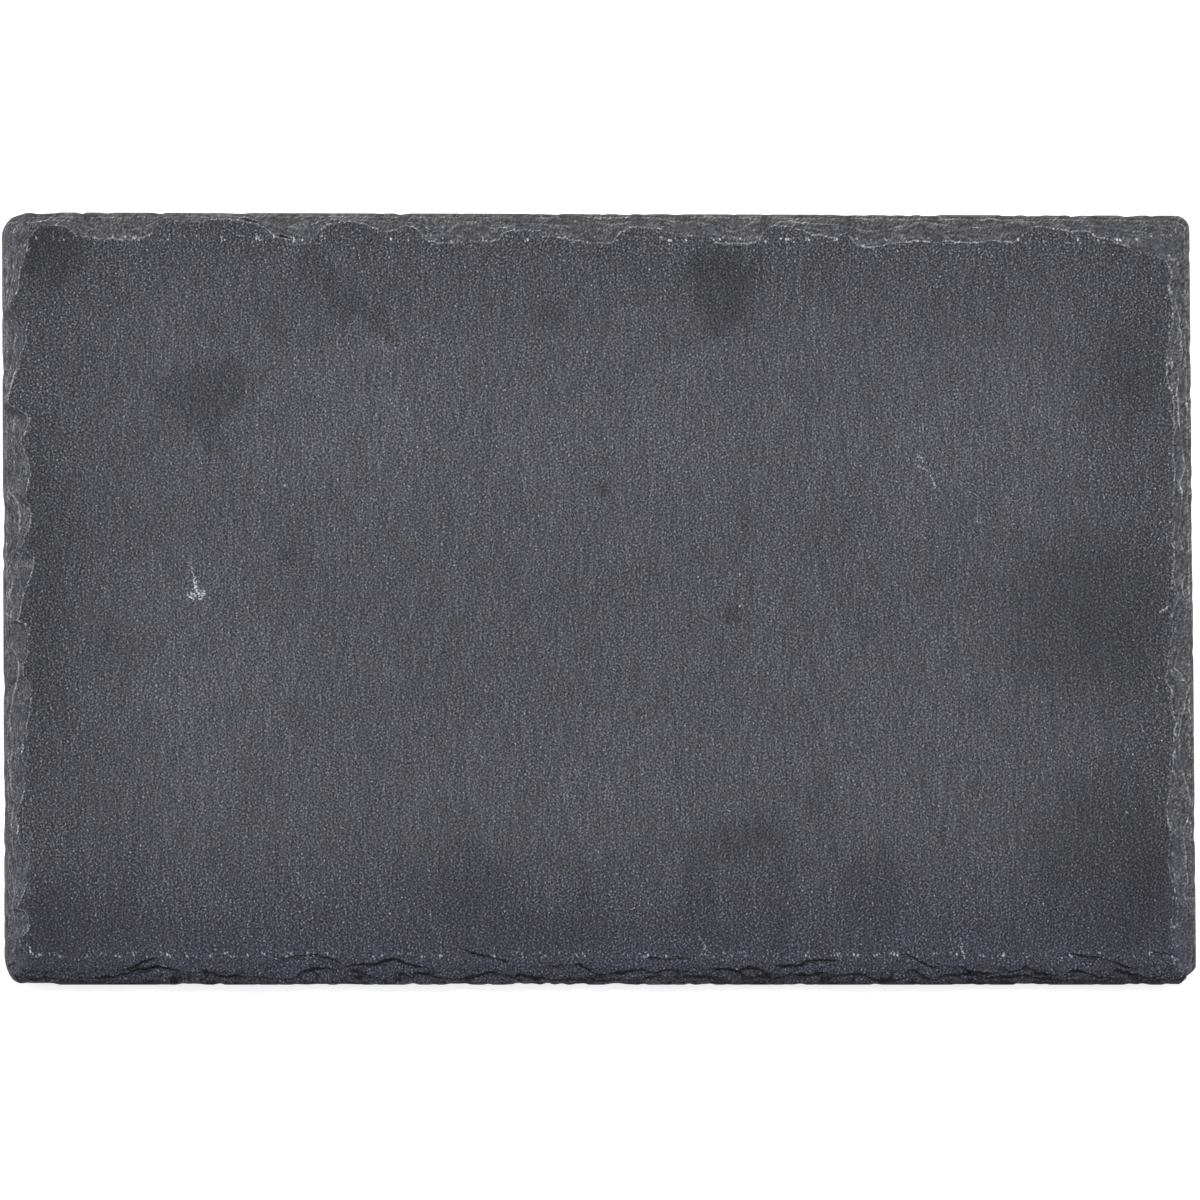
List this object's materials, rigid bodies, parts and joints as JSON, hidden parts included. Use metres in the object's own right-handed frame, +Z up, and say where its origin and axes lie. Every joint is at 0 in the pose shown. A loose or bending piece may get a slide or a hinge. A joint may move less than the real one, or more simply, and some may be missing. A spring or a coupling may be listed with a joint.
{
  "type": "slate serving board",
  "caption": "Rectangular slate serving board with hand-chipped edges and a flat split face, standing on small stick-on foam feet.",
  "frame": {"origin": "on the table, under the middle of the board's outline", "axes": "+X along the long edge to the right, +Y across the board to the back, +Z up out of the serving face"},
  "size_m": [0.31, 0.2004, 0.0072],
  "materials": {
    "slate": "riven, matt, dark blue-grey with chipped edges",
    "foot_foam": "matt closed-cell foam",
    "adhesive_film": "satin, slightly translucent double-sided film"
  },
  "bodies": {
    "root": {"slate_slab": "slate", "foot_pad_front_left": "foot_foam", "foot_pad_front_right": "foot_foam", "foot_pad_back_right": "foot_foam", "foot_pad_back_left": "foot_foam", "adhesive_disc_front_left": "adhesive_film", "adhesive_disc_front_right": "adhesive_film", "adhesive_disc_back_right": "adhesive_film", "adhesive_disc_back_left": "adhesive_film"}
  },
  "joints": []
}
